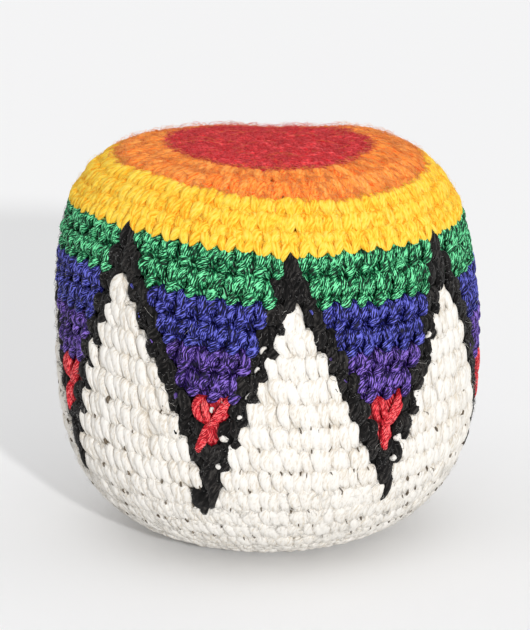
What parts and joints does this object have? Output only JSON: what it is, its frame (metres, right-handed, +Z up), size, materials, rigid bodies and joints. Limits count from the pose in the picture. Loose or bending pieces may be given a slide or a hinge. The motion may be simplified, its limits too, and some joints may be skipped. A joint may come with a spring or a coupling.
{
  "type": "footbag",
  "caption": "Round crocheted footbag with a flat crown, colour bands, a zigzag with small hearts and a white base, stuffed with loose pellets.",
  "frame": {"origin": "middle of the flat spot that the bag rests on", "axes": "+Z up through the middle of the crown, -Y towards the front of the picture"},
  "size_m": [0.054, 0.054, 0.0509],
  "materials": {
    "crimson_yarn": "felted, fuzzy",
    "orange_yarn": "felted, fuzzy",
    "yellow_yarn": "soft, slightly fuzzy",
    "green_yarn": "soft sheen",
    "blue_yarn": "soft sheen",
    "purple_yarn": "soft sheen",
    "heart_red_yarn": "soft",
    "black_yarn": "matt, linty",
    "natural_yarn": "matt cotton",
    "plastic_pellets": "satin"
  },
  "bodies": {
    "root": {"crimson_crown": "crimson_yarn", "orange_band": "orange_yarn", "yellow_band": "yellow_yarn", "green_panel_1": "green_yarn", "green_panel_2": "green_yarn", "green_panel_3": "green_yarn", "green_panel_4": "green_yarn", "green_panel_5": "green_yarn", "green_panel_6": "green_yarn", "green_panel_7": "green_yarn", "blue_panel_1": "blue_yarn", "blue_panel_2": "blue_yarn", "blue_panel_3": "blue_yarn", "blue_panel_4": "blue_yarn", "blue_panel_5": "blue_yarn", "blue_panel_6": "blue_yarn", "blue_panel_7": "blue_yarn", "purple_panel_1": "purple_yarn", "purple_panel_2": "purple_yarn", "purple_panel_3": "purple_yarn", "purple_panel_4": "purple_yarn", "purple_panel_5": "purple_yarn", "purple_panel_6": "purple_yarn", "purple_panel_7": "purple_yarn", "heart_1": "heart_red_yarn", "heart_2": "heart_red_yarn", "heart_3": "heart_red_yarn", "heart_4": "heart_red_yarn", "heart_5": "heart_red_yarn", "heart_6": "heart_red_yarn", "heart_7": "heart_red_yarn", "black_zigzag": "black_yarn", "white_base": "natural_yarn", "pellet_fill": "plastic_pellets"}
  },
  "joints": []
}
